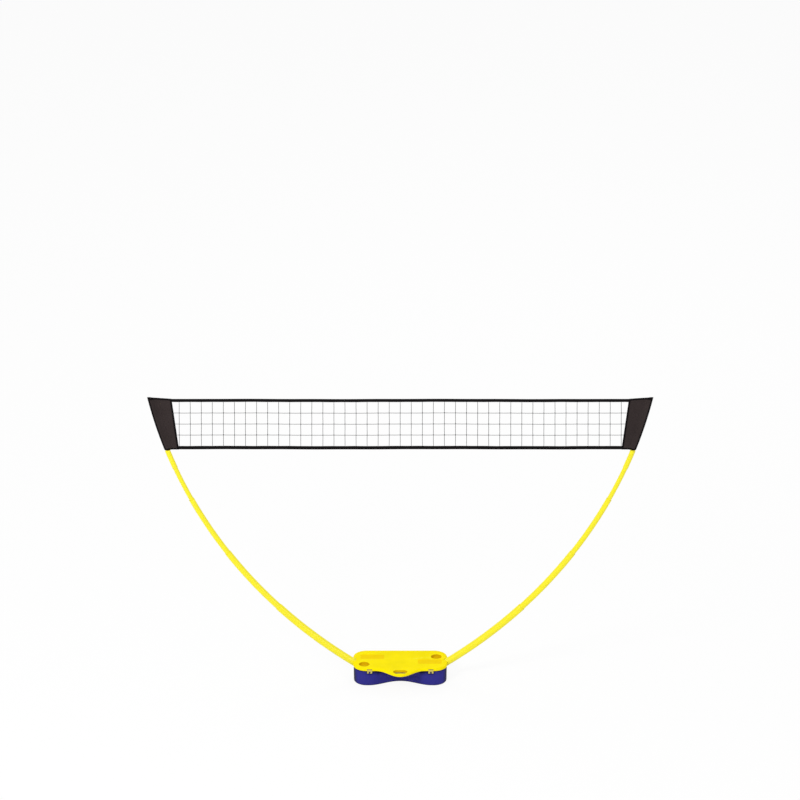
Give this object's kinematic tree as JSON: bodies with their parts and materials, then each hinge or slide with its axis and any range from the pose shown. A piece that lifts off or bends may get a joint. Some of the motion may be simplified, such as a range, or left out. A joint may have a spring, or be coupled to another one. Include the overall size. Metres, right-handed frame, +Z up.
{
  "type": "portable volleyball net",
  "caption": "Portable volleyball net: a plastic carry case stands as the base, and two bowed telescoping poles plugged into its ends hold the net's sleeves.",
  "frame": {"origin": "centre of the case's flat underside, in the plane of the poles", "axes": "+X runs along the net towards the right pole, +Y from the carry handle towards the lid's hinges, +Z up"},
  "size_m": [3.0124, 0.34, 1.8588],
  "materials": {
    "tub": "moulded blue plastic, satin",
    "lid": "moulded yellow plastic, satin",
    "latch": "moulded yellow plastic",
    "socket": "moulded dark plastic",
    "pin": "zinc-plated steel",
    "pole": "yellow lacquered fibreglass tube",
    "rod": "yellow fibreglass rod",
    "cap": "black rubber",
    "sleeve": "black woven polyester",
    "tape": "black woven polyester tape",
    "twine": "grey twisted nylon twine"
  },
  "bodies": {
    "case": {"base_tub": "tub", "left_socket": "socket", "right_socket": "socket", "socket_screws": "pin", "left_hinge_pin": "pin", "right_hinge_pin": "pin", "left_foot_section": "pole", "right_foot_section": "pole"},
    "lid": {"lid": "lid", "left_latch_pin": "pin", "right_latch_pin": "pin"},
    "left_latch": {"left_latch": "latch"},
    "right_latch": {"right_latch": "latch"},
    "net": {"net_mesh": "twine", "top_tape": "tape", "bottom_tape": "tape"},
    "left_section_2": {"left_section_2": "pole"},
    "left_section_3": {"left_section_3": "pole"},
    "left_tip": {"left_section_4": "pole", "left_ferrule": "pole", "left_tip_rod": "rod", "left_tip_cap": "cap", "left_net_sleeve": "sleeve"},
    "right_section_2": {"right_section_2": "pole"},
    "right_section_3": {"right_section_3": "pole"},
    "right_tip": {"right_section_4": "pole", "right_ferrule": "pole", "right_tip_rod": "rod", "right_tip_cap": "cap", "right_net_sleeve": "sleeve"}
  },
  "joints": [
    {"name": "lid_hinge", "type": "hinge", "parent": "case", "child": "lid", "pos_m": [0, 0.1305, 0.1004], "axis": [-1, 0, 0], "range_deg": [0, 105]},
    {"name": "left_latch_hinge", "type": "hinge", "parent": "lid", "child": "left_latch", "pos_m": [-0.183, -0.1205, 0.1054], "axis": [-1, 0, 0], "range_deg": [0, 100]},
    {"name": "right_latch_hinge", "type": "hinge", "parent": "lid", "child": "right_latch", "pos_m": [0.183, -0.1205, 0.1054], "axis": [-1, 0, 0], "range_deg": [0, 100]},
    {"name": "net_height", "type": "slide", "parent": "case", "child": "net", "axis": [0, 0, 1], "range_m": [-0.269, 0], "deforming": ["net_mesh", "top_tape", "bottom_tape"]},
    {"name": "left_section_2_slide", "type": "hinge", "parent": "case", "child": "left_section_2", "pos_m": [1.33038, 0, 2.50711], "axis": [0, 1, 0], "range_deg": [-1.97, 0]},
    {"name": "left_section_3_slide", "type": "hinge", "parent": "case", "child": "left_section_3", "pos_m": [1.33038, 0, 2.50711], "axis": [0, 1, 0], "range_deg": [-3.93, 0]},
    {"name": "left_tip_slide", "type": "hinge", "parent": "case", "child": "left_tip", "pos_m": [1.33038, 0, 2.50711], "axis": [0, 1, 0], "range_deg": [-5.89, 0]},
    {"name": "right_section_2_slide", "type": "hinge", "parent": "case", "child": "right_section_2", "pos_m": [-1.33038, 0, 2.50711], "axis": [0, -1, 0], "range_deg": [-1.97, 0]},
    {"name": "right_section_3_slide", "type": "hinge", "parent": "case", "child": "right_section_3", "pos_m": [-1.33038, 0, 2.50711], "axis": [0, -1, 0], "range_deg": [-3.93, 0]},
    {"name": "right_tip_slide", "type": "hinge", "parent": "case", "child": "right_tip", "pos_m": [-1.33038, 0, 2.50711], "axis": [0, -1, 0], "range_deg": [-5.89, 0]}
  ],
  "couplings": [
    {"joint": "left_section_2_slide", "follows": "net_height", "rad_per_m": 0.12714},
    {"joint": "left_section_3_slide", "follows": "net_height", "rad_per_m": 0.25427},
    {"joint": "left_tip_slide", "follows": "net_height", "rad_per_m": 0.38141},
    {"joint": "right_section_2_slide", "follows": "net_height", "rad_per_m": 0.12714},
    {"joint": "right_section_3_slide", "follows": "net_height", "rad_per_m": 0.25427},
    {"joint": "right_tip_slide", "follows": "net_height", "rad_per_m": 0.38141}
  ]
}
